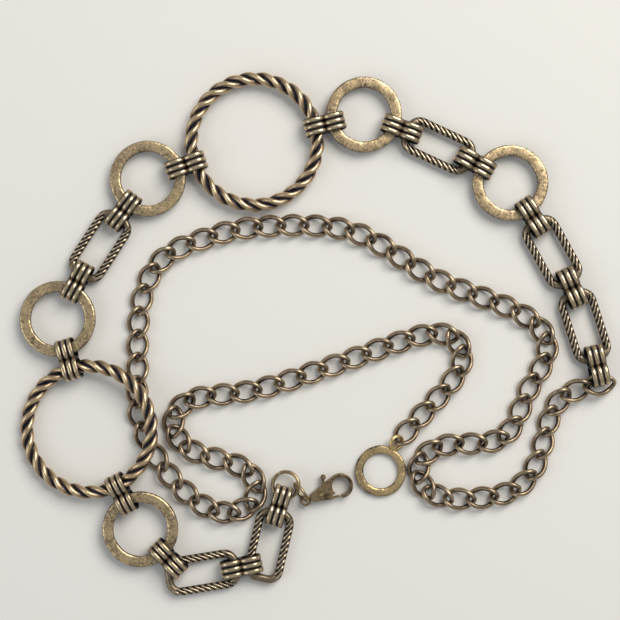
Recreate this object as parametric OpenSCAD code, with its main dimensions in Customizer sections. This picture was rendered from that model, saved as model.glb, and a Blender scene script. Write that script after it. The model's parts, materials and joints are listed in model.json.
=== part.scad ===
// A long decorative watch or waist chain, laid out on a table.
// Rope rings, flat rings and long links are joined by ribbed eye connectors;
// an open curb chain runs from the last connector to a tag ring.
// Units are millimetres, +Z is up and the table is at z = 0.

/* [Rope rings] */
// Radius of a rope ring, measured to the middle of the rope
rope_ring_r = 21; // [20.5:0.1:21.4]
// Diameter of the rope over its strands
rope_d = 4.8; // [4.4:0.1:4.9]
// Depth of the groove between two strands
rope_groove = 0.7; // [0.3:0.1:1]
// Ridges counted once round the ring
rope_ridges = 25; // [18:1:32]

/* [Flat rings] */
// Outer diameter of a flat ring
flat_od = 25.4; // [24.4:0.2:26.4]
// Width of its bar, seen from above
flat_bar = 3.8; // [3.2:0.1:4]
// Thickness of its bar
flat_t = 2.5; // [2:0.1:2.7]

/* [Long links] */
// Outer length of a long link
long_l = 25; // [24:0.2:26]
// Outer width of a long link
long_w = 13; // [12.8:0.1:13.6]
// Diameter of its bar
long_bar = 2.7; // [2.3:0.1:2.8]

/* [Connectors] */
// Length of one eye, measured inside along the chain
eye_l = 5.6; // [5.5:0.1:6]
// Height of one eye, measured inside
eye_h = 5.4; // [5.3:0.1:5.8]
// Thickness of the metal round an eye
eye_wall = 1.05; // [0.9:0.05:1.2]
// Thickness of the waist between the two eyes
waist_t = 0.8; // [0.7:0.1:1.1]
// Width of a connector across its three ribs
conn_w = 6; // [5.6:0.1:6.1]

/* [Curb chain] */
// Thickness of the curb wire
curb_wire = 1.4; // [1.2:0.05:1.45]
// Distance from one curb link to the next
curb_pitch = 7.7; // [7.6:0.05:7.75]
// Angle that each end of a link is rolled out of its plane
curb_roll = 48; // [44:1:50]

/* [Ends] */
// Outer diameter of the large jump ring
jump_od = 10; // [9.8:0.1:10.4]
// Outer diameter of the tag ring
tag_od = 17.2; // [16:0.2:19]
// Inner diameter of the tag ring
tag_id = 11.4; // [10:0.2:12]

/* [Hidden] */
$fn = 48;
function numbered(stem, count) = [for (i = [1:count]) str(stem, i < 10 ? "0" : "", i)];

// ---- order of the decorative end, from the clasp to the curb chain ----
// Heading of each connector, in degrees
conn_heading = [-107, -168, 134, 117, 106, 62, 53, 19, 14, -21, -29, -57, -66, -77];
// What hangs between two connectors: its kind, how far its bar rests from the middle of an eye
// towards the waist, and for a long link its heading and the corner angle the next one holds
hangers = [
    ["long", 0.7, -103, -90], ["long", 1.05, -171, -66], ["flat", 0.6], ["rope", 0.1], ["flat", 0],
    ["long", 0.3, 57, 0], ["flat", 0.5], ["rope", 0.1], ["flat", 0.5], ["long", 0.9, -25, 0],
    ["flat", 0.5], ["long", 0.9, -61, 0], ["long", 0.7, -72, 0]
];
conn_count = len(conn_heading);
curb_groups = 27;
group_links = 3;
link_count = curb_groups * group_links;

// ---- helpers ----
function dir(a) = [cos(a), sin(a)];
function turn(p, a) = [p.x * cos(a) - p.y * sin(a), p.x * sin(a) + p.y * cos(a)];
function unit(v) = v / norm(v);
function up(p, z) = [p.x, p.y, z];

// ---- sizes that follow from the ones above ----
clear = 0.05;
flat_r = (flat_od - flat_bar) / 2;
long_x = (long_l - long_bar) / 2;
long_y = (long_w - long_bar) / 2;
long_corner = 3.4;
eye_gap = eye_l + waist_t;
conn_z = eye_h / 2 + eye_wall;
bar_drop = 0.6;
flat_z = conn_z - bar_drop;
long_z = eye_wall + long_bar / 2 + 0.25;
curb_a = 5.05;
curb_b = 3.15;
curb_z = 1.97;

// ---- where every piece of the decorative end lies ----
// Point of a long link's centreline: the middle of an end bar, or a corner point at the angle a
function long_point(a) =
    a % 180 == 0 ? [long_x * cos(a), 0] :
    [sign(cos(a + 1)) * (long_x - long_corner), sign(sin(a)) * (long_y - long_corner)] + long_corner * dir(a);
// Point of hanger i, from its middle, that a connector holds; a is the outward angle there
function hold_point(i, a, corner) =
    hangers[i][0] == "long" ? turn(long_point(corner), hangers[i][2]) :
    (hangers[i][0] == "flat" ? flat_r : rope_ring_r) * dir(a);
// First eye of connector i, the middle of hanger i and the second eye, before the shift
function eye_1(i) =
    i == 0 ? [0, 0] :
    hanger_mid(i - 1) + hold_point(i - 1, conn_heading[i], hangers[i - 1][3])
        - hangers[i - 1][1] * dir(conn_heading[i]);
function eye_2(i) = eye_1(i) + eye_gap * dir(conn_heading[i]);
function hanger_mid(i) =
    eye_2(i) - hangers[i][1] * dir(conn_heading[i]) - hold_point(i, conn_heading[i] + 180, 180);
// Puts the middle of the whole lie at the origin
centre = [-5.5, 8];
rope_2_at = [-16, 56];
shift = rope_2_at + centre - hanger_mid(7);
eyes_1 = [for (i = [0:conn_count - 1]) eye_1(i) + shift];
eyes_2 = [for (i = [0:conn_count - 1]) eye_2(i) + shift];
hanger_at = [for (i = [0:conn_count - 2]) hanger_mid(i) + shift];

// Rope ring 1 leans on the curb chain that runs under its rim:
// height of its middle, slope angle and the direction that it rises to
lean_z = 4.72;
lean_tilt = 5.6;
lean_to = 15;
function lean_height(p) = lean_z + (p - hanger_at[3]) * dir(lean_to) * tan(lean_tilt);
// Height of both eyes of each connector; the two at rope ring 1 climb up to it
eye_z_1 = [for (i = [0:conn_count - 1]) i == 3 ? 4.6 : i == 4 ? lean_height(eyes_1[4]) : conn_z];
eye_z_2 = [for (i = [0:conn_count - 1]) i == 3 ? lean_height(eyes_2[3]) : i == 4 ? 4.3 : conn_z];
// Roll of those two connectors about their own length
conn_tilt = [for (i = [0:conn_count - 1]) i == 3 || i == 4 ? -5.5 : 0];
// Height, slope and rise direction of each hanger
hanger_lie = [for (i = [0:conn_count - 2])
    i == 3 ? [lean_z, lean_tilt, lean_to] :
    i == 2 ? [flat_z + 0.45, 2.4, conn_heading[3]] :
    i == 4 ? [flat_z + 0.3, 1.6, conn_heading[4] + 180] :
    [hangers[i][0] == "long" ? long_z : hangers[i][0] == "flat" ? flat_z : conn_z, 0, 0]];
function hangers_of(kind) = [for (i = [0:conn_count - 2]) if (hangers[i][0] == kind) i];

// ---- route of the curb chain, from the last connector to the tag ring ----
route = [
    [90, -26.6], [84.3, -30.8], [82.2, -37.3], [80.5, -44], [78.5, -51], [75, -57.3], [69, -61.3],
    [62, -62.5], [54.5, -63.2], [47.3, -63], [40.6, -60.3], [38, -54], [40.4, -47.8], [47, -45],
    [54, -44.5], [61, -44.8], [67.3, -42.8], [71.5, -37.5], [73.5, -30.5], [76.7, -24], [80.8, -18], [82.5, -11],
    [79, -5], [72, -0.5], [63.5, 3], [55, 6], [47, 9], [39.5, 13], [32.5, 17.8],
    [25, 22.5], [18, 26], [11, 27.6], [4, 28.2], [-3, 28.3], [-10, 28], [-17, 27.5], [-24.5, 26.5],
    [-32, 24], [-39.5, 21.5], [-46.8, 17.8], [-51.5, 10.8], [-54, 3], [-55, -5], [-55, -13], [-55, -21],
    [-55.5, -29], [-54.5, -37], [-51.5, -44.5], [-47.5, -51.5], [-42.5, -57.5], [-37, -63], [-30.5, -67],
    [-23.5, -68.2], [-17, -65.3], [-14.3, -59.3], [-17.8, -53.4], [-24.5, -50.6], [-32, -49], [-38.5, -46.5],
    [-43, -41.5], [-43.5, -35], [-39, -30.3], [-32, -28.5], [-22, -28], [-12, -26], [-3, -23], [6, -20],
    [15, -17], [24, -13.5], [33, -10.5], [40.5, -8.2], [47.3, -7.4], [52.8, -10.8], [54, -17],
    [50.6, -23.3], [45, -29.5], [39.5, -35.5]
];
// The first link lies across the last connector, with the end of its eye inside the link
last_heading = conn_heading[conn_count - 1];
link_1_heading = last_heading - 94;
link_1_past = 0.65;
link_1_at = eyes_2[conn_count - 1] + (eye_l + eye_wall) / 2 * dir(last_heading)
    + link_1_past * dir(link_1_heading);
link_2_pitch = 8;
// A smooth line through the route's points
function smooth(a, b, c, d, t) =
    0.5 * (2 * b + (c - a) * t + (2 * a - 5 * b + 4 * c - d) * t * t + (3 * b - a - 3 * c + d) * t * t * t);
past_end = [[34, -41.5], [28.5, -47.5], [23, -53.5]];
route_ends = concat([link_1_at], [for (p = concat(route, past_end)) p + centre]);
rough_line = [
    for (i = [0:len(route_ends) - 3])
        for (t = [0:0.1:0.95])
            smooth(route_ends[max(i - 1, 0)], route_ends[i], route_ends[i + 1], route_ends[i + 2], t)
];
smooth_reach = 9;
function sum(v, a, b) = a > b ? [0, 0] : v[a] + sum(v, a + 1, b);
line = [
    for (k = [0:len(rough_line) - 1])
        let (w = min(smooth_reach, k, len(rough_line) - 1 - k))
        sum(rough_line, k - w, k + w) / (2 * w + 1)
];
// Steps along that line of one pitch, or less where the line bends and the links close up
least_pitch = 6;
free_bend = 14;
pitch_per_degree = 0.07;
look_ahead = 10;
function line_at(k) = line[min(max(k, 0), len(line) - 1)];
function bend_after(k) =
    let (
        a = line_at(k + look_ahead) - line_at(k - look_ahead),
        b = line_at(k + 2 * look_ahead) - line_at(k)
    )
    acos(min(1, a * b / norm(a) / norm(b)));
function pitch_after(k) =
    k < 2 ? link_2_pitch :
    max(least_pitch, curb_pitch - pitch_per_degree * max(0, bend_after(k) - free_bend));
function next_step(p, k, pitch) =
    norm(line[k] - p) < pitch ? next_step(p, k + 1, pitch) :
    let (near = norm(line[k - 1] - p), far = norm(line[k] - p))
    [line[k - 1] + (line[k] - line[k - 1]) * (pitch - near) / (far - near), k];
function steps(p, k, count) =
    count == 0 ? [] :
    let (s = next_step(p, k, pitch_after(k)))
    concat([s[0]], steps(s[0], s[1], count - 1));
link_at = concat([link_1_at], steps(link_1_at, 1, link_count - 1));
// The first three come down from the connector to the table
first_z = [3.45, 2.8, 2.3];
function link_z(i) = i < len(first_z) ? first_z[i] : curb_z;
function link_mid(i) = up(link_at[i], link_z(i));
function link_along(i) =
    i == 0 ? unit(up(dir(link_1_heading), 0)) :
    i == link_count - 1 ? unit(link_mid(i) - link_mid(i - 1)) :
    unit(link_mid(i + 1) - link_mid(i - 1));

// ---- one curb link, swept round a rolled oval ----
curb_stations = 14;
curb_sides = 6;
function curb_line(t) =
    let (r = curb_roll * cos(t))
    [curb_a * cos(t), curb_b * sin(t) * cos(r), curb_b * sin(t) * sin(r)];
function curb_side(t) =
    let (r = curb_roll * cos(t)) [0, -sin(r), cos(r)];
curb_points = [
    for (i = [0:curb_stations - 1])
        let (
            t = 360 * (i + 0.5) / curb_stations,
            along = unit(curb_line(t + 0.5) - curb_line(t - 0.5)),
            across = unit(cross(curb_side(t), along)),
            rise = cross(along, across)
        )
        for (k = [0:curb_sides - 1])
            let (a = 360 * (k + 0.5) / curb_sides)
            curb_line(t) + curb_wire / 2 * (across * cos(a) - rise * sin(a))
];
// Faces of a closed tube; the last ring joins the first one after a shift of its points
function tube_faces(rings, sides, jump) = [
    for (i = [0:rings - 1])
        for (k = [0:sides - 1])
            let (
                last = i == rings - 1,
                a = i * sides + k,
                b = i * sides + (k + 1) % sides,
                c = last ? (k + 1 + jump) % sides : (i + 1) * sides + (k + 1) % sides,
                d = last ? (k + jump) % sides : (i + 1) * sides + k
            )
            each [[a, b, c], [a, c, d]]
];

module curb_link() {
    polyhedron(curb_points, tube_faces(curb_stations, curb_sides, 0));
}

module curb_group(g) {
    color("darkgoldenrod")
    for (k = [0:group_links - 1]) {
        i = g * group_links + k;
        v = link_along(i);
        translate(link_mid(i))
            rotate([0, -asin(v.z), atan2(v.y, v.x)])
            curb_link();
    }
}

// ---- rope ring: a three-strand section turned as it goes round ----
rope_stations = 80;
rope_sides = 12;
rope_points = [
    for (i = [0:rope_stations - 1])
        for (k = [0:rope_sides - 1])
            let (
                a = 360 * i / rope_stations,
                s = 360 * k / rope_sides,
                r = rope_d / 2 - rope_groove * (1 - cos(3 * s)) / 2,
                w = s - 120 * rope_ridges * i / rope_stations,
                x = rope_ring_r + r * cos(w)
            )
            [x * cos(a), x * sin(a), r * sin(w)]
];

module lie(p, z, tilt = 0, to = 0) {
    translate(up(p, z))
        rotate([0, 0, to])
        rotate([0, -tilt, 0])
        rotate([0, 0, -to])
        children();
}

module rope_ring(n) {
    i = hangers_of("rope")[n];
    lie(hanger_at[i], hanger_lie[i][0], hanger_lie[i][1], hanger_lie[i][2])
        color("goldenrod")
        polyhedron(rope_points, tube_faces(rope_stations, rope_sides, (8 * rope_ridges) % rope_sides));
}

// ---- flat ring ----
module rounded(l, h, r) {
    square([l, h - 2 * r], center = true);
    square([l - 2 * r, h], center = true);
    for (x = [-1, 1])
        for (y = [-1, 1])
            translate([x * (l / 2 - r), y * (h / 2 - r)]) circle(r);
}

module flat_ring(n) {
    i = hangers_of("flat")[n];
    lie(hanger_at[i], hanger_lie[i][0], hanger_lie[i][1], hanger_lie[i][2])
        color("burlywood")
        rotate_extrude()
        translate([flat_r, 0])
        rounded(flat_bar, flat_t, 0.6);
}

// ---- long link: four straight bars and four round corners ----
module long_link(n) {
    i = hangers_of("long")[n];
    side = long_x - long_corner;
    end = long_y - long_corner;
    lie(hanger_at[i], long_z)
        rotate([0, 0, hangers[i][2]])
        color("saddlebrown") {
            for (y = [-long_y, long_y])
                translate([-side, y, 0]) rotate([0, 90, 0]) cylinder(h = 2 * side, d = long_bar);
            for (x = [-long_x, long_x])
                translate([x, end, 0]) rotate([90, 0, 0]) cylinder(h = 2 * end, d = long_bar);
            for (q = [0:3])
                translate([q == 0 || q == 3 ? side : -side, q < 2 ? end : -end, 0])
                    rotate([0, 0, 90 * q])
                    rotate_extrude(angle = 90)
                    translate([long_corner, 0])
                    circle(d = long_bar);
        }
}

// ---- connector: two eyes side by side under three ribs ----
rib_w = 1.75;
rib_depth = 0.35;
eye_corner = 1.6;
module eyes_outline(wall) {
    difference() {
        for (x = [-eye_gap / 2, eye_gap / 2])
            translate([x, 0]) rounded(eye_l + 2 * wall, eye_h + 2 * wall, eye_corner + wall);
        for (x = [-eye_gap / 2, eye_gap / 2])
            translate([x, 0]) rounded(eye_l, eye_h, eye_corner);
    }
}

module connector(i) {
    p = up(eyes_1[i], eye_z_1[i]);
    q = up(eyes_2[i], eye_z_2[i]);
    pitch = asin((q.z - p.z) / norm(q - p));
    translate((p + q) / 2)
        rotate([conn_tilt[i], -pitch, conn_heading[i]])
        rotate([90, 0, 0])
        color("tan") {
            linear_extrude(conn_w - 0.2, center = true) eyes_outline(eye_wall - rib_depth);
            for (y = [-1, 0, 1])
                translate([0, 0, y * (conn_w - rib_w) / 2])
                    linear_extrude(rib_w, center = true)
                    eyes_outline(eye_wall);
        }
}

// ---- jump rings ----
jump_wire = 1.2;
jump_r = (jump_od - jump_wire) / 2;
small_wire = 1;
small_r = 3.6;
module open_ring(r, wire, gap) {
    rotate([0, 0, gap / 2])
        rotate_extrude(angle = 360 - gap)
        translate([r, 0])
        circle(d = wire);
}
// The large one passes through the first eye of the first connector
jump_heading = 71;
jump_tilt = 10;
jump_rise = -24;
jump_slack = 0.4;
jump_mid = eyes_1[0] + (jump_r - jump_slack) * dir(jump_heading);
jump_z = 3;
module jump_ring_large() {
    color("peru")
        lie(jump_mid, jump_z, jump_tilt, jump_rise)
        rotate([0, 0, 120])
        open_ring(jump_r, jump_wire, 4);
}
// The small one is linked through the large one and carries the clasp at its far end
small_heading = -55;
small_tilt = 75;
small_reach = 5.6;
small_mid = jump_mid + small_reach * dir(jump_rise);
small_z = small_r * sin(small_tilt) + small_wire / 2 + 0.06;
module jump_ring_small() {
    color("peru")
        translate(up(small_mid, small_z))
        rotate([0, 0, small_heading])
        rotate([small_tilt, 0, 0])
        rotate([0, 0, 60])
        open_ring(small_r, small_wire, 5);
}

// ---- lobster clasp, drawn along x with its tail eye at the origin ----
clasp_heading = 23;
clasp_pitch = -3;
clasp_t = 3.2;
tail_r = 1.5;
tail_wire = 0.8;
hook_x = 12.7;
hook_r = 4.1;
hook_hole = 2.95;
neck_x = 3.3;
neck_r = 1.6;
pivot_x = 5.9;
pivot_d = 0.9;
slot_at = 7.5;
slot_l = 5.8;
slot_t = 1.5;
gap_at = [10.25, -3.9];
gap_size = [2.7, 4.4];
past = 5;
lever_t = 1.1;
// Its tail hangs on the small ring a little below that ring's far end
hang_below = 25;
clasp_at = small_mid + small_r * (cos(hang_below) * dir(small_heading)
    - sin(hang_below) * cos(small_tilt) * dir(small_heading + 90));
clasp_z = small_z - small_r * sin(hang_below) * sin(small_tilt);
module in_clasp() {
    translate(up(clasp_at, clasp_z))
        rotate([0, -clasp_pitch, clasp_heading])
        children();
}

module clasp_outline() {
    lean = acos((hook_r - neck_r) / (hook_x - neck_x));
    translate([hook_x, 0]) circle(hook_r);
    translate([neck_x, 0]) circle(neck_r);
    polygon([
        [hook_x, 0] + hook_r * dir(180 - lean), [hook_x, 0] + hook_r * dir(180 + lean),
        [neck_x, 0] + neck_r * dir(180 + lean), [neck_x, 0] + neck_r * dir(180 - lean)
    ]);
}

module clasp_body() {
    in_clasp() color("peru") difference() {
        union() {
            linear_extrude(clasp_t, center = true) clasp_outline();
            rotate_extrude() translate([tail_r, 0]) circle(d = tail_wire);
        }
        translate([hook_x, 0, 0]) cylinder(h = past, r = hook_hole, center = true);
        // The gap that the lever closes
        translate(up(gap_at, 0)) cube([gap_size.x, gap_size.y, past], center = true);
        // The slot that the lever lies in
        translate([slot_at, 0, 0]) cube([slot_l, 3 * hook_r, slot_t], center = true);
        translate([pivot_x, 0, 0]) cylinder(h = past, d = pivot_d, center = true);
    }
}

// An arm is a little narrower than the round ends that it joins
arm_step = 0.1;
module lever_arm(p, q, w) {
    along = q - p;
    translate((p + q) / 2)
        rotate(atan2(along.y, along.x))
        square([norm(along), w - 2 * arm_step], center = true);
    translate(p) circle(d = w);
    translate(q) circle(d = w);
}
knob = [8.4, 4.9];
knob_r = 0.9;
knob_t = 1.6;
gate_bend = [8.1, -2.5];
gate_tip = [10.55, -2.92];
module clasp_lever() {
    in_clasp() color("goldenrod") {
        difference() {
            linear_extrude(lever_t, center = true) {
                translate([pivot_x, 0]) circle(1.2);
                lever_arm([pivot_x, 0], gate_bend, 1.3);
                lever_arm(gate_bend, gate_tip, 1);
                lever_arm([pivot_x, 0], knob, 1.2);
            }
            translate([pivot_x, 0, 0]) cylinder(h = past, d = pivot_d + 2 * clear, center = true);
        }
        translate(up(knob, 0)) cylinder(h = knob_t, r = knob_r, center = true);
    }
}

module clasp_pin() {
    in_clasp() color("darkgray")
        translate([pivot_x, 0, 0]) cylinder(h = clasp_t, d = pivot_d, center = true);
}

// ---- tag ring with its loop, held by the last curb link ----
tag_r = (tag_od + tag_id) / 4;
tag_t = 2;
tag_heading = -119;
loop_r = 2.25;
loop_wire = 1.3;
loop_tilt = -35;
last_along = link_along(link_count - 1);
loop_at = link_at[link_count - 1] + curb_a * dir(atan2(last_along.y, last_along.x));
loop_z = 2.05;
tag_at = loop_at + (tag_od / 2 + loop_r) * dir(tag_heading);
tag_z = tag_t / 2;
module tag_ring() {
    color("goldenrod") {
        translate(up(tag_at, tag_z))
            rotate_extrude()
            translate([tag_r, 0])
            rounded((tag_od - tag_id) / 2, tag_t, 0.5);
        translate(up(loop_at, loop_z))
            rotate([0, 0, tag_heading])
            rotate([loop_tilt, 0, 0])
            rotate_extrude()
            translate([loop_r, 0])
            circle(d = loop_wire);
    }
}

// ---- every node ----
clasp_body();
clasp_lever();
clasp_pin();
jump_ring_small();
jump_ring_large();
for (i = [0:conn_count - 1])
    connector(i);
for (i = [0:5])
    long_link(i);
for (i = [0:4])
    flat_ring(i);
for (i = [0:1])
    rope_ring(i);
for (i = [0:curb_groups - 1])
    curb_group(i);
tag_ring();
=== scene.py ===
import json
from math import cos, pi, radians, sin

import bpy
import numpy as np
from mathutils import Matrix, Vector, noise


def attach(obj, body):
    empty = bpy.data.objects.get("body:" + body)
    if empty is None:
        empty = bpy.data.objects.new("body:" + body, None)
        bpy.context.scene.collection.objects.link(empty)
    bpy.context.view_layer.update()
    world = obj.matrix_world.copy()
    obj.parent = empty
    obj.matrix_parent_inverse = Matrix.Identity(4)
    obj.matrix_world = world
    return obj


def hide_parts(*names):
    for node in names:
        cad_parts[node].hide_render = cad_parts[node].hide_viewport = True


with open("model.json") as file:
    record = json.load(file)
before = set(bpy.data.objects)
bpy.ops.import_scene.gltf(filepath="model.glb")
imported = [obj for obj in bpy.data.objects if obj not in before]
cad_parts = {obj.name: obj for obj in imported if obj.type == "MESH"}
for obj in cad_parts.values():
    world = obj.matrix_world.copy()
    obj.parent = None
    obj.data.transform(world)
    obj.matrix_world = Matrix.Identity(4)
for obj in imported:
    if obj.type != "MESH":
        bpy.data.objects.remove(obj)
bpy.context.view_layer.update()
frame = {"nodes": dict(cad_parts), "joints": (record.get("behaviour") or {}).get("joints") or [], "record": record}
nodes = frame["nodes"]
bodyOf = {n: b for b, members in frame["record"]["behaviour"]["bodies"].items() for n in members}
mm = 0.001
print("frame loaded,", len(nodes), "nodes")


# selecting and reading meshes
def deselectAll():
    if bpy.context.mode != "OBJECT":
        bpy.ops.object.mode_set(mode="OBJECT")
    bpy.ops.object.select_all(action="DESELECT")


def pick(*objects):
    deselectAll()
    for o in objects:
        o.select_set(True)
    bpy.context.view_layer.objects.active = objects[0]


def pointsOf(obj):
    co = np.empty(len(obj.data.vertices) * 3)
    obj.data.vertices.foreach_get("co", co)
    return co.reshape(-1, 3)


def trianglesOf(obj):
    obj.data.calc_loop_triangles()
    corners = np.empty(len(obj.data.loop_triangles) * 3, int)
    obj.data.loop_triangles.foreach_get("vertices", corners)
    return pointsOf(obj)[corners].reshape(-1, 3, 3)


def makeWearAndShade(obj, wearAndShade):  # 0 in a groove, 1 where it is brightest: wear and patina, on some pieces with painted highlight and painted shade as well
    attribute = obj.data.attributes.new("wearAndShade", "FLOAT", "POINT")
    attribute.data.foreach_set("value", np.clip(wearAndShade, 0, 1).astype(np.float32))


def solidPose(tri):  # middle and main axes of a closed solid: longest first, the last one turned up
    def parts(t):
        return np.einsum("ij,ij->i", t[:, 0], np.cross(t[:, 1], t[:, 2])) / 6
    ref = tri.mean((0, 1))
    t = tri - ref
    v = parts(t)
    middle = (v[:, None] * t.sum(1) / 4).sum(0) / v.sum()
    t = t - middle
    v = parts(t)
    s = t.sum(1)
    second = np.einsum("i,ij,ik->jk", v, s, s) + np.einsum("i,iaj,iak->jk", v, t, t)
    axes = np.linalg.eigh(second * np.sign(v.sum()))[1][:, ::-1].T
    return ref + middle, axes


def placed(middle, along, up):  # a matrix from a piece's own axes to its place
    up = up * (1 if up[2] >= 0 else -1)
    across = np.cross(up, along)
    m = Matrix.Identity(4)
    for i in range(3):
        m[i][0], m[i][1], m[i][2], m[i][3] = along[i], across[i], up[i], middle[i]
    return m


def islandsOf(node):  # the separate solids of a node, as triangles
    tri = trianglesOf(nodes[node])
    keys = np.unique(np.round(tri.reshape(-1, 3) / 1e-6).astype(int), axis=0, return_inverse=True)[1]
    keys = keys.reshape(-1, 3)
    label = np.arange(keys.max() + 1)
    while True:
        low = label[keys].min(1)
        new = label.copy()
        np.minimum.at(new, keys.ravel(), np.repeat(low, 3))
        new = new[new]
        if (new == label).all():
            break
        label = new
    part = label[keys[:, 0]]
    return [tri[part == p] for p in np.unique(part)]


# making shapes
def ringMesh(name, rings):  # a torus primitive whose rings are laid at the given stations
    stations, sides = rings.shape[:2]
    deselectAll()
    bpy.ops.mesh.primitive_torus_add(major_segments=stations, minor_segments=sides,
                                     major_radius=0.01, minor_radius=0.002)
    obj = bpy.context.object
    obj.name = name
    obj.data.vertices.foreach_set("co", (rings * mm).reshape(-1))
    bpy.ops.object.mode_set(mode="EDIT")
    bpy.ops.mesh.select_all(action="SELECT")
    bpy.ops.mesh.normals_make_consistent(inside=False)
    bpy.ops.object.mode_set(mode="OBJECT")
    bpy.ops.object.shade_smooth()
    return obj


def roundedLoop(halfL, halfW, corner, straightL, straightW, bend):
    # points and outward directions of a rounded rectangle, in its plane, counter-clockwise
    points, outs = [], []
    for q in range(4):
        cx = (halfL - corner) * (1 if q in (0, 3) else -1)
        cy = (halfW - corner) * (1 if q < 2 else -1)
        for k in range(bend):
            a = pi / 2 * (q + k / bend)
            points.append((cx + corner * cos(a), cy + corner * sin(a)))
            outs.append((cos(a), sin(a)))
        a = pi / 2 * (q + 1)
        count = straightL if q % 2 == 0 else straightW
        length = 2 * (halfL - corner if q % 2 == 0 else halfW - corner)
        for k in range(count):
            d = length * k / count
            points.append((cx + corner * cos(a) - sin(a) * d, cy + corner * sin(a) + cos(a) * d))
            outs.append((cos(a), sin(a)))
    return np.array(points), np.array(outs)


def copyOf(proto, name, place):
    obj = proto.copy()
    obj.data = proto.data.copy()
    obj.name = name
    obj.data.transform(place)
    bpy.context.scene.collection.objects.link(obj)
    return obj


def joined(name, objects):
    pick(*objects)
    if len(objects) > 1:
        bpy.ops.object.join()
    objects[0].name = name
    return objects[0]


def finishPiece(obj, node, material):
    obj.data.materials.clear()
    obj.data.materials.append(material)
    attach(obj, bodyOf[node])
    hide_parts(node)


# materials
def newSocket(tree, name, way, kind, value=None):
    socket = tree.interface.new_socket(name=name, in_out=way, socket_type=kind)
    if value is not None:
        socket.default_value = value


def patinaAndShadeGroup():
    # rubbed metal over a dark patina, with painted highlight and painted shade on some pieces: a mask of wear,
    # patina and painted light, colour, roughness and a fine height
    tree = bpy.data.node_groups.new("rubbedPatinaAndPaintedLight", "ShaderNodeTree")
    newSocket(tree, "WearAndShade", "INPUT", "NodeSocketFloat", 0.7)
    newSocket(tree, "Patchiness", "INPUT", "NodeSocketFloat", 0.35)
    newSocket(tree, "Speckle", "INPUT", "NodeSocketFloat", 0.3)
    newSocket(tree, "Fine", "INPUT", "NodeSocketFloat", 1.0)
    newSocket(tree, "Bright", "INPUT", "NodeSocketColor", (0.6, 0.43, 0.2, 1))
    newSocket(tree, "Brown", "INPUT", "NodeSocketColor", (0.3, 0.2, 0.1, 1))
    newSocket(tree, "Groove", "INPUT", "NodeSocketColor", (0.012, 0.012, 0.018, 1))
    newSocket(tree, "Color", "OUTPUT", "NodeSocketColor")
    newSocket(tree, "Roughness", "OUTPUT", "NodeSocketFloat")
    newSocket(tree, "Height", "OUTPUT", "NodeSocketFloat")
    n, link = tree.nodes, tree.links.new
    inp, out = n.new("NodeGroupInput"), n.new("NodeGroupOutput")
    coords = n.new("ShaderNodeTexCoord")

    def noiseAt(scale, detail, rough=0.55):
        size = n.new("ShaderNodeMath")
        size.operation = "MULTIPLY"
        size.inputs[1].default_value = scale
        link(inp.outputs["Fine"], size.inputs[0])
        t = n.new("ShaderNodeTexNoise")
        t.inputs["Detail"].default_value = detail
        t.inputs["Roughness"].default_value = rough
        link(coords.outputs["Object"], t.inputs["Vector"])
        link(size.outputs[0], t.inputs["Scale"])
        return t.outputs["Fac"]

    def math(op, a, b, clamp=False):
        m = n.new("ShaderNodeMath")
        m.operation = op
        m.use_clamp = clamp
        for socket, value in zip(m.inputs, (a, b)):
            if isinstance(value, (int, float)):
                socket.default_value = value
            else:
                link(value, socket)
        return m.outputs[0]

    def smooth(value, low, high):
        r = n.new("ShaderNodeMapRange")
        r.interpolation_type = "SMOOTHSTEP"
        r.inputs["From Min"].default_value = low
        r.inputs["From Max"].default_value = high
        link(value, r.inputs["Value"])
        return r.outputs["Result"]

    def mixed(fac, a, b):
        m = n.new("ShaderNodeMix")
        m.data_type = "RGBA"
        link(fac, m.inputs["Factor"])
        link(a, m.inputs[6])
        link(b, m.inputs[7])
        return m.outputs[2]

    patches = noiseAt(260, 4)
    specks = noiseAt(1500, 3, 0.7)
    grain = noiseAt(4200, 2)
    patchy = math("MULTIPLY", math("SUBTRACT", patches, 0.5), inp.outputs["Patchiness"])
    patchy = math("MULTIPLY", patchy, 3.2)
    speckled = math("MULTIPLY", math("SUBTRACT", specks, 0.5), inp.outputs["Speckle"])
    speckled = math("MULTIPLY", speckled, 4.0)
    level = math("ADD", math("ADD", inp.outputs["WearAndShade"], patchy), speckled)
    brownMask = smooth(level, 0.14, 0.42)
    brightMask = smooth(level, 0.42, 0.9)
    color = mixed(brightMask, mixed(brownMask, inp.outputs["Groove"], inp.outputs["Brown"]), inp.outputs["Bright"])
    link(color, out.inputs["Color"])
    rough = n.new("ShaderNodeMapRange")
    rough.inputs["To Min"].default_value = 0.46
    rough.inputs["To Max"].default_value = 0.22
    link(level, rough.inputs["Value"])
    link(math("ADD", rough.outputs["Result"], math("MULTIPLY", math("SUBTRACT", grain, 0.5), 0.16)),
         out.inputs["Roughness"])
    link(math("ADD", math("MULTIPLY", patches, 0.4), math("ADD", math("MULTIPLY", specks, 0.5),
         math("MULTIPLY", grain, 0.2))), out.inputs["Height"])
    return tree


patinaAndShadeTree = patinaAndShadeGroup()


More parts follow.
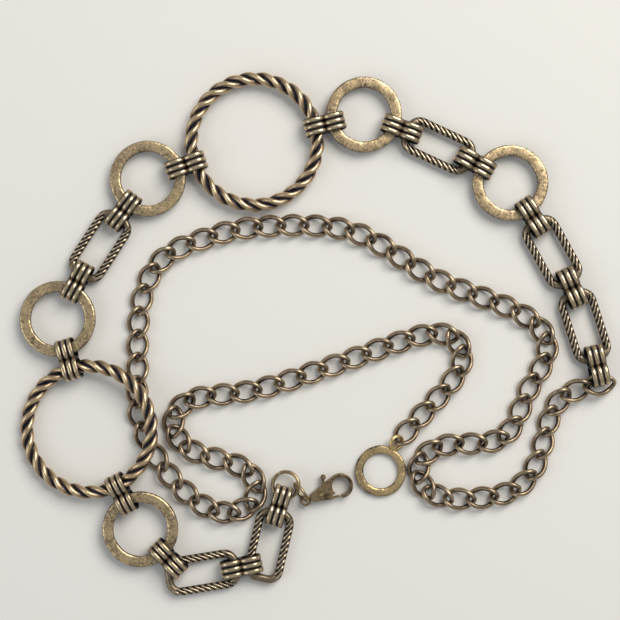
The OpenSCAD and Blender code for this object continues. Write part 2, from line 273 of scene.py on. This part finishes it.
def brass(name, look, attribute=True):
    material = bpy.data.materials.new(name)
    material.use_nodes = True
    n, link = material.node_tree.nodes, material.node_tree.links.new
    shader = n["Principled BSDF"]
    group = n.new("ShaderNodeGroup")
    group.node_tree = patinaAndShadeTree
    for key in ("Patchiness", "Speckle", "Fine"):
        group.inputs[key].default_value = look[key]
    for key in ("Bright", "Brown", "Groove"):
        group.inputs[key].default_value = (*look[key], 1)
    group.inputs["WearAndShade"].default_value = look["WearAndShade"]
    if attribute:
        wear = n.new("ShaderNodeAttribute")
        wear.attribute_name = "wearAndShade"
        link(wear.outputs["Fac"], group.inputs["WearAndShade"])
    bump = n.new("ShaderNodeBump")
    bump.inputs["Strength"].default_value = look["bump"]
    bump.inputs["Distance"].default_value = 0.00012
    link(group.outputs["Height"], bump.inputs["Height"])
    link(group.outputs["Color"], shader.inputs["Base Color"])
    link(group.outputs["Roughness"], shader.inputs["Roughness"])
    link(bump.outputs["Normal"], shader.inputs["Normal"])
    shader.inputs["Metallic"].default_value = look["metal"]
    shader.inputs["Specular IOR Level"].default_value = 0.5
    return material


looks = {
    # the rope and rib groove colours are a bluish near-black: patina with painted shade in their grooves
    "rope": dict(WearAndShade=0.7, Patchiness=0.18, Speckle=0.12, Fine=1.0, bump=0.25, metal=0.85,
                 Bright=(0.62, 0.45, 0.26), Brown=(0.26, 0.18, 0.11), Groove=(0.009, 0.011, 0.020)),
    "rib": dict(WearAndShade=0.7, Patchiness=0.14, Speckle=0.1, Fine=1.1, bump=0.2, metal=0.88,
                Bright=(0.54, 0.42, 0.26), Brown=(0.21, 0.155, 0.10), Groove=(0.009, 0.010, 0.015)),
    "flat": dict(WearAndShade=0.7, Patchiness=0.36, Speckle=0.5, Fine=0.8, bump=0.6, metal=0.8,
                 Bright=(0.66, 0.49, 0.26), Brown=(0.29, 0.21, 0.125), Groove=(0.045, 0.034, 0.027)),
    "link": dict(WearAndShade=0.6, Patchiness=0.14, Speckle=0.14, Fine=1.1, bump=0.25, metal=0.85,
                 Bright=(0.60, 0.48, 0.32), Brown=(0.20, 0.15, 0.095), Groove=(0.014, 0.012, 0.012)),
    "curb": dict(WearAndShade=0.6, Patchiness=0.2, Speckle=0.14, Fine=0.8, bump=0.2, metal=0.88,
                 Bright=(0.53, 0.41, 0.26), Brown=(0.23, 0.165, 0.105), Groove=(0.035, 0.027, 0.022)),
    "wire": dict(WearAndShade=0.55, Patchiness=0.24, Speckle=0.16, Fine=1.0, bump=0.2, metal=0.88,
                 Bright=(0.56, 0.42, 0.22), Brown=(0.26, 0.185, 0.1), Groove=(0.05, 0.035, 0.02)),
    "tag": dict(WearAndShade=0.75, Patchiness=0.42, Speckle=0.3, Fine=0.8, bump=0.5, metal=0.85,
                Bright=(0.70, 0.51, 0.24), Brown=(0.33, 0.235, 0.12), Groove=(0.03, 0.022, 0.016)),
}
paint = {key: brass(key + "Brass", look) for key, look in looks.items()}
plainWire = brass("plainWireBrass", looks["wire"], attribute=False)
print("materials made")

# rope rings: three round strands laid right-handed and bent into a ring
rope = dict(ringR=21.0, outside=2.38, strandR=1.13, ridges=25, stations=250, sides=36)


def ropeShape():
    offset = rope["outside"] - rope["strandR"]
    a = 2 * pi * np.arange(rope["stations"])[:, None] / rope["stations"]
    w = 2 * pi * np.arange(rope["sides"])[None, :] / rope["sides"] + 0 * a
    phase = w + rope["ridges"] * a / 3  # the strands' own turn
    s = (phase + pi / 3) % (2 * pi / 3) - pi / 3
    r = offset * np.cos(s) + np.sqrt(rope["strandR"] ** 2 - (offset * np.sin(s)) ** 2)
    x = rope["ringR"] + r * np.cos(w)
    rings = np.stack([x * np.cos(a), x * np.sin(a), r * np.sin(w)], -1)
    obj = ringMesh("ropeProto", rings)
    # the value peaks on the strand crests and falls to zero in the grooves between strands: rubbed crests and
    # patina in the grooves, with a painted highlight along each crest and painted shade in the grooves
    low = offset * cos(pi / 3) + (rope["strandR"] ** 2 - (offset * sin(pi / 3)) ** 2) ** 0.5
    depth = (r - low) / (rope["outside"] - low)
    makeWearAndShade(obj, (0.98 * np.clip(depth, 0, 1) ** 2.1).ravel())
    finer = obj.modifiers.new("finer", "SUBSURF")
    finer.levels = finer.render_levels = 1
    pick(obj)
    bpy.ops.object.modifier_apply(modifier="finer")
    return obj


ropeProto = ropeShape()
for i in (1, 2):
    node = "rope_ring_%02d" % i
    middle, axes = solidPose(trianglesOf(nodes[node]))
    finishPiece(copyOf(ropeProto, "ropeRing%d" % i, placed(middle, axes[0], axes[2])), node, paint["rope"])
print("rope rings made")

# flat rings
flat = dict(r=10.8, width=3.8, thick=2.5, square=0.42, dent=0.16, dentSize=2.2, lineAt=0.8, line=0.0,
            stations=220, sides=32)


def dented(obj, amount, size, seed):  # shallow hammered dents, the same each time
    for v in obj.data.vertices:
        p = v.co / (size * mm) + Vector((seed, 0, 0))
        depth = 0.5 - 0.5 * noise.noise(p) + 0.25 * noise.noise(p * 3.1)
        v.co -= v.normal * max(depth, 0) * amount * mm


def bandRing(name, look, seed):  # a flat ring whose faces are slightly domed and whose edges are soft
    a = 2 * pi * np.arange(look["stations"])[:, None] / look["stations"]
    k = 2 * pi * np.arange(look["sides"])[None, :] / look["sides"]
    across = np.sign(np.cos(k)) * np.abs(np.cos(k)) ** look["square"]
    up = np.sign(np.sin(k)) * np.abs(np.sin(k)) ** look["square"]
    x = look["r"] + look["width"] / 2 * across
    obj = ringMesh(name, np.stack([x * np.cos(a), x * np.sin(a), look["thick"] / 2 * up + 0 * a], -1))
    # lighter on the top face, darker on the sides and along both edges of the top, and, where line is not zero,
    # darker along a line near each edge: a rubbed top, with painted shade on the sides and along the edges
    top = np.clip((up - 0.45) / 0.45, 0, 1)
    rim = np.clip((np.abs(across) - 0.86) / 0.1, 0, 1)
    line = np.exp(-((np.abs(across) - look["lineAt"]) / 0.09) ** 2)
    makeWearAndShade(obj, (0.24 + 0.42 * top - 0.22 * rim * top - look["line"] * line * top + 0 * a).ravel())
    dented(obj, look["dent"], look["dentSize"], seed)
    return obj


for i in range(1, 6):
    node = "flat_ring_%02d" % i
    proto = bandRing("flatProto%d" % i, flat, 9.0 * i)
    middle, axes = solidPose(trianglesOf(nodes[node]))
    piece = copyOf(proto, "flatRing%d" % i, placed(middle, axes[0], axes[2]))
    finishPiece(piece, node, paint["flat"])
    bpy.data.objects.remove(proto)
print("flat rings made")

# long links: a round bar bent to an oblong, with slanted cuts along the top of both sides
oblong = dict(length=25.0, width=13.0, bar=2.7, corner=3.4, cutEvery=2.05, cutDepth=0.42, slant=1.35, sides=28)


def longShape():
    halfL, halfW = (oblong["length"] - oblong["bar"]) / 2, (oblong["width"] - oblong["bar"]) / 2
    points, outs = roundedLoop(halfL, halfW, oblong["corner"], 82, 8, 12)
    k = 2 * pi * np.arange(oblong["sides"]) / oblong["sides"]
    across, up = np.cos(k)[None, :], np.sin(k)[None, :]
    half = oblong["bar"] / 2
    x, y = points[:, :1], points[:, 1:]
    side = np.clip((halfL - 0.9 - np.abs(x)) / 1.2, 0, 1) * (np.abs(y) > halfW - oblong["corner"] * 0.75)
    face = np.clip((up - 0.25) / 0.35, 0, 1) * side
    lateral = y + outs[:, 1:] * across * half
    wave = 0.5 + 0.5 * np.cos(2 * pi * (x + oblong["slant"] * lateral) / oblong["cutEvery"])
    cut = face * np.clip(1.5 * (1 - wave) - 0.2, 0, 1)
    r = half - oblong["cutDepth"] * cut
    flatten = np.minimum(r * up, half - 0.12)
    rings = np.stack([x + outs[:, :1] * r * across, y + outs[:, 1:] * r * across, flatten + 0 * x], -1)
    obj = ringMesh("longProto", rings)
    rubbed = 0.36 + 0.14 * up + 0.6 * face * wave - 0.75 * cut
    makeWearAndShade(obj, (rubbed + 0 * x).ravel())
    return obj


longProto = longShape()
for i in range(1, 7):
    node = "long_link_%02d" % i
    middle, axes = solidPose(trianglesOf(nodes[node]))
    finishPiece(copyOf(longProto, "longLink%d" % i, placed(middle, axes[0], axes[2])), node, paint["link"])
print("long links made")

# connectors: two eyes side by side, each of three round ribs on a core coloured near-black as patina and painted
# shade between the ribs
eye = dict(length=5.6, height=5.4, waist=0.8, corner=2.05, width=6.0, ribW=1.8, ribPitch=2.05)


def eyeLoop(name, shift, z, halfWide, halfThick, inset, power, outerWearAndHighlight, innerWearAndShade, bend, straight, sides):
    wallMid = inset
    points, outs = roundedLoop(eye["length"] / 2 + wallMid, eye["height"] / 2 + wallMid, eye["corner"] + wallMid,
                               straight, straight, bend)
    k = 2 * pi * np.arange(sides) / sides
    ca, sa = np.cos(k)[None, :], np.sin(k)[None, :]
    radial = halfThick * np.sign(ca) * np.abs(ca) ** power
    wide = halfWide * np.sign(sa) * np.abs(sa) ** power
    px, pz = points[:, :1], points[:, 1:]
    # the loop stands upright: its plane is x and z, and its width runs along y
    rings = np.stack([px + outs[:, :1] * radial + shift, wide + z + 0 * px, pz + outs[:, 1:] * radial], -1)
    obj = ringMesh(name, rings)
    # on the ribs, bright only in a narrow band along the outer face and near-black on the inner face and sides:
    # rubbed crest and patina, with a painted highlight along the crest and painted shade on the sides
    wearAndShade = innerWearAndShade + (outerWearAndHighlight - innerWearAndShade) * np.clip(ca, 0, 1) ** 2.2 + 0 * px
    # darker towards the waist between the two eyes, down to a fifth of the value: painted shade in the gap between
    # the eyes
    waist = np.clip(1 - np.abs(px + shift) / 1.2, 0, 1)
    makeWearAndShade(obj, (wearAndShade * (1 - 0.8 * waist)).ravel())
    return obj


def connectorShape():
    gap = eye["length"] + eye["waist"]
    parts = []
    for shift in (-gap / 2, gap / 2):
        for row in (-1, 0, 1):
            parts.append(eyeLoop("rib", shift, row * eye["ribPitch"], eye["ribW"] / 2, 0.56, 0.5, 1.0,
                                 0.98, 0.02, 9, 3, 16))
        # the core stays close to the groove colour: patina and painted shade between the ribs
        parts.append(eyeLoop("core", shift, 0, eye["width"] / 2 - 0.2, 0.3, 0.32, 0.5, 0.06, 0.1, 6, 2, 12))
    return joined("connectorProto", parts)


connectorProto = connectorShape()
for i in range(1, 15):
    node = "connector_%02d" % i
    middle, axes = solidPose(trianglesOf(nodes[node]))
    finishPiece(copyOf(connectorProto, "connector%d" % i, placed(middle, axes[0], axes[1])), node, paint["rib"])
print("connectors made")

# curb links: a round wire oval whose two ends are rolled opposite ways
curb = dict(halfL=5.05, halfW=3.15, wire=1.56, roll=48.0, stations=44, sides=12)


def curbShape():
    t = 2 * pi * np.arange(curb["stations"])[:, None] / curb["stations"]

    def line(t):
        r = radians(curb["roll"]) * np.cos(t)
        return np.concatenate([curb["halfL"] * np.cos(t), curb["halfW"] * np.sin(t) * np.cos(r),
                               curb["halfW"] * np.sin(t) * np.sin(r)], -1)
    along = line(t + 0.01) - line(t - 0.01)
    along /= np.linalg.norm(along, axis=1, keepdims=True)
    r = radians(curb["roll"]) * np.cos(t)
    side = np.concatenate([0 * t, -np.sin(r), np.cos(r)], -1)
    across = np.cross(side, along)
    across /= np.linalg.norm(across, axis=1, keepdims=True)
    rise = np.cross(along, across)
    k = 2 * pi * np.arange(curb["sides"]) / curb["sides"]
    half = curb["wire"] / 2
    rings = line(t)[:, None, :] + half * (across[:, None, :] * np.cos(k)[None, :, None]
                                          + rise[:, None, :] * np.sin(k)[None, :, None])
    obj = ringMesh("curbProto", rings)
    # lighter on the outer side of the wire and darker on its inner side: rubbed outer side with a painted
    # highlight, patina with painted shade inside the link
    outward = line(t) / np.linalg.norm(line(t), axis=1, keepdims=True)
    facing = ((rings - line(t)[:, None, :]) / half * outward[:, None, :]).sum(-1)
    makeWearAndShade(obj, (0.46 + 0.3 * facing).ravel())
    return obj


curbProto = curbShape()
for g in range(1, 28):
    node = "curb_%02d" % g
    links = []
    for tri in islandsOf(node):
        middle, axes = solidPose(tri)
        links.append(copyOf(curbProto, "link", placed(middle, axes[0], axes[2])))
    finishPiece(joined("curbLinks%02d" % g, links), node, paint["curb"])
print("curb chain made")


# clasp: the CAD casting softened as if cast and tumbled
cast = dict(voxel=0.11, smooth=8)


def castFrom(node, name, voxel, rounds):
    obj = nodes[node].copy()
    obj.data = nodes[node].data.copy()
    for key in list(obj.keys()):
        del obj[key]
    obj.parent = None
    obj.name = name
    bpy.context.scene.collection.objects.link(obj)
    pick(obj)
    bpy.ops.object.mode_set(mode="EDIT")
    bpy.ops.mesh.select_all(action="SELECT")
    bpy.ops.mesh.remove_doubles(threshold=0.000001)
    bpy.ops.object.mode_set(mode="OBJECT")
    remesh = obj.modifiers.new("remesh", "REMESH")
    remesh.mode = "VOXEL"
    remesh.voxel_size = voxel * mm
    remesh.use_smooth_shade = True
    bpy.ops.object.modifier_apply(modifier="remesh")
    before = pointsOf(obj)
    smooth = obj.modifiers.new("smooth", "SMOOTH")
    smooth.factor = 0.5
    smooth.iterations = rounds
    bpy.ops.object.modifier_apply(modifier="smooth")
    after = pointsOf(obj)
    lost = np.linalg.norm(after - before, axis=1) / mm  # edges move most, and are rubbed brightest
    makeWearAndShade(obj, 0.3 + 5.0 * lost)
    return obj


finishPiece(castFrom("clasp_body", "claspBody", cast["voxel"], cast["smooth"]), "clasp_body", paint["wire"])
finishPiece(castFrom("clasp_lever", "claspLever", 0.07, 6), "clasp_lever", paint["wire"])
for node in ("clasp_pin", "jump_ring_small", "jump_ring_large"):
    cad = nodes[node]
    cad.data.materials.clear()
    cad.data.materials.append(plainWire)
print("clasp made")

# tag ring: a broad flat ring, lightly hammered, with a small loop on its rim
tag = dict(outer=17.2, inner=11.4, thick=2.0, square=0.5, dent=0.22, dentSize=2.6, lineAt=0.74, line=0.34,
           stations=200, sides=32, loopR=2.25, loopWire=1.3, loopTilt=-35.0, loopZ=2.05)


def tagShape():
    ringR = (tag["outer"] + tag["inner"]) / 4
    width = (tag["outer"] - tag["inner"]) / 2
    ring = bandRing("tagBand", dict(tag, r=ringR, width=width), 70.0)
    joint = [j for j in frame["joints"] if j["name"] == "tag_swing"][0]
    loopAt = Vector(joint["pos_m"])
    corners = pointsOf(nodes["tag_ring"])
    flatPart = corners[corners[:, 2] < 0.1 * mm]  # what lies on the table is the ring's underside
    middle = (flatPart.min(0) + flatPart.max(0)) / 2
    ring.data.transform(Matrix.Translation((middle[0], middle[1], tag["thick"] / 2 * mm)))
    away = Vector((middle[0], middle[1], 0)) - Vector((loopAt.x, loopAt.y, 0))
    heading = np.arctan2(away.y, away.x)
    t = 2 * pi * np.arange(56)[:, None] / 56
    k = 2 * pi * np.arange(18)[None, :] / 18
    r = tag["loopR"] + tag["loopWire"] / 2 * np.cos(k)
    rings = np.stack([r * np.cos(t), r * np.sin(t), tag["loopWire"] / 2 * np.sin(k) + 0 * t], -1)
    loop = ringMesh("loop", rings)
    loop.data.transform(Matrix.Translation(loopAt) @ Matrix.Rotation(heading, 4, "Z")
                        @ Matrix.Rotation(radians(tag["loopTilt"]), 4, "X"))
    makeWearAndShade(loop, np.full(len(loop.data.vertices), 0.9))
    return joined("tagRing", [ring, loop])


finishPiece(tagShape(), "tag_ring", paint["tag"])
for proto in (ropeProto, longProto, connectorProto, curbProto):
    bpy.data.objects.remove(proto)
print("tag ring made")

# floor, light and camera
room = dict(floorSize=3.0, cameraAt=(-0.003, 0.008, 0.6), lens=104.0, key=14.0, fill=3.0, sky=0.4)
deselectAll()
bpy.ops.mesh.primitive_plane_add(size=room["floorSize"], location=(0, 0, -0.00003))
floor = bpy.context.object
floor.name = "tableTop"
board = bpy.data.materials.new("paleTable")
board.use_nodes = True
n, link = board.node_tree.nodes, board.node_tree.links.new
boardShader = n["Principled BSDF"]
boardShader.inputs["Base Color"].default_value = (0.72, 0.69, 0.63, 1)
boardShader.inputs["Roughness"].default_value = 0.75
floor.data.materials.append(board)


def areaLight(name, place, power, size, color):
    lamp = bpy.data.lights.new(name, "AREA")
    lamp.energy = power
    lamp.size = size
    lamp.color = color
    obj = bpy.data.objects.new(name, lamp)
    obj.location = place
    obj.rotation_euler = (Vector((0, 0, 0)) - Vector(place)).to_track_quat("-Z", "Y").to_euler()
    bpy.context.scene.collection.objects.link(obj)


areaLight("windowLight", (0.5, 0.6, 0.95), room["key"], 0.8, (1.0, 0.98, 0.95))
areaLight("fillLight", (-0.9, -0.3, 0.8), room["fill"], 0.8, (0.9, 0.94, 1.0))
world = bpy.data.worlds.new("softRoom")
world.use_nodes = True
world.node_tree.nodes["Background"].inputs["Color"].default_value = (0.86, 0.92, 1.0, 1)
world.node_tree.nodes["Background"].inputs["Strength"].default_value = room["sky"]
bpy.context.scene.world = world

lens = bpy.data.cameras.new("overhead")
lens.lens = room["lens"]
lens.sensor_width = 36
lens.clip_start = 0.01
camera = bpy.data.objects.new("overhead", lens)
camera.location = room["cameraAt"]
bpy.context.scene.collection.objects.link(camera)
bpy.context.scene.camera = camera
bpy.context.scene.view_settings.view_transform = "Standard"
print("floor, light and camera set")
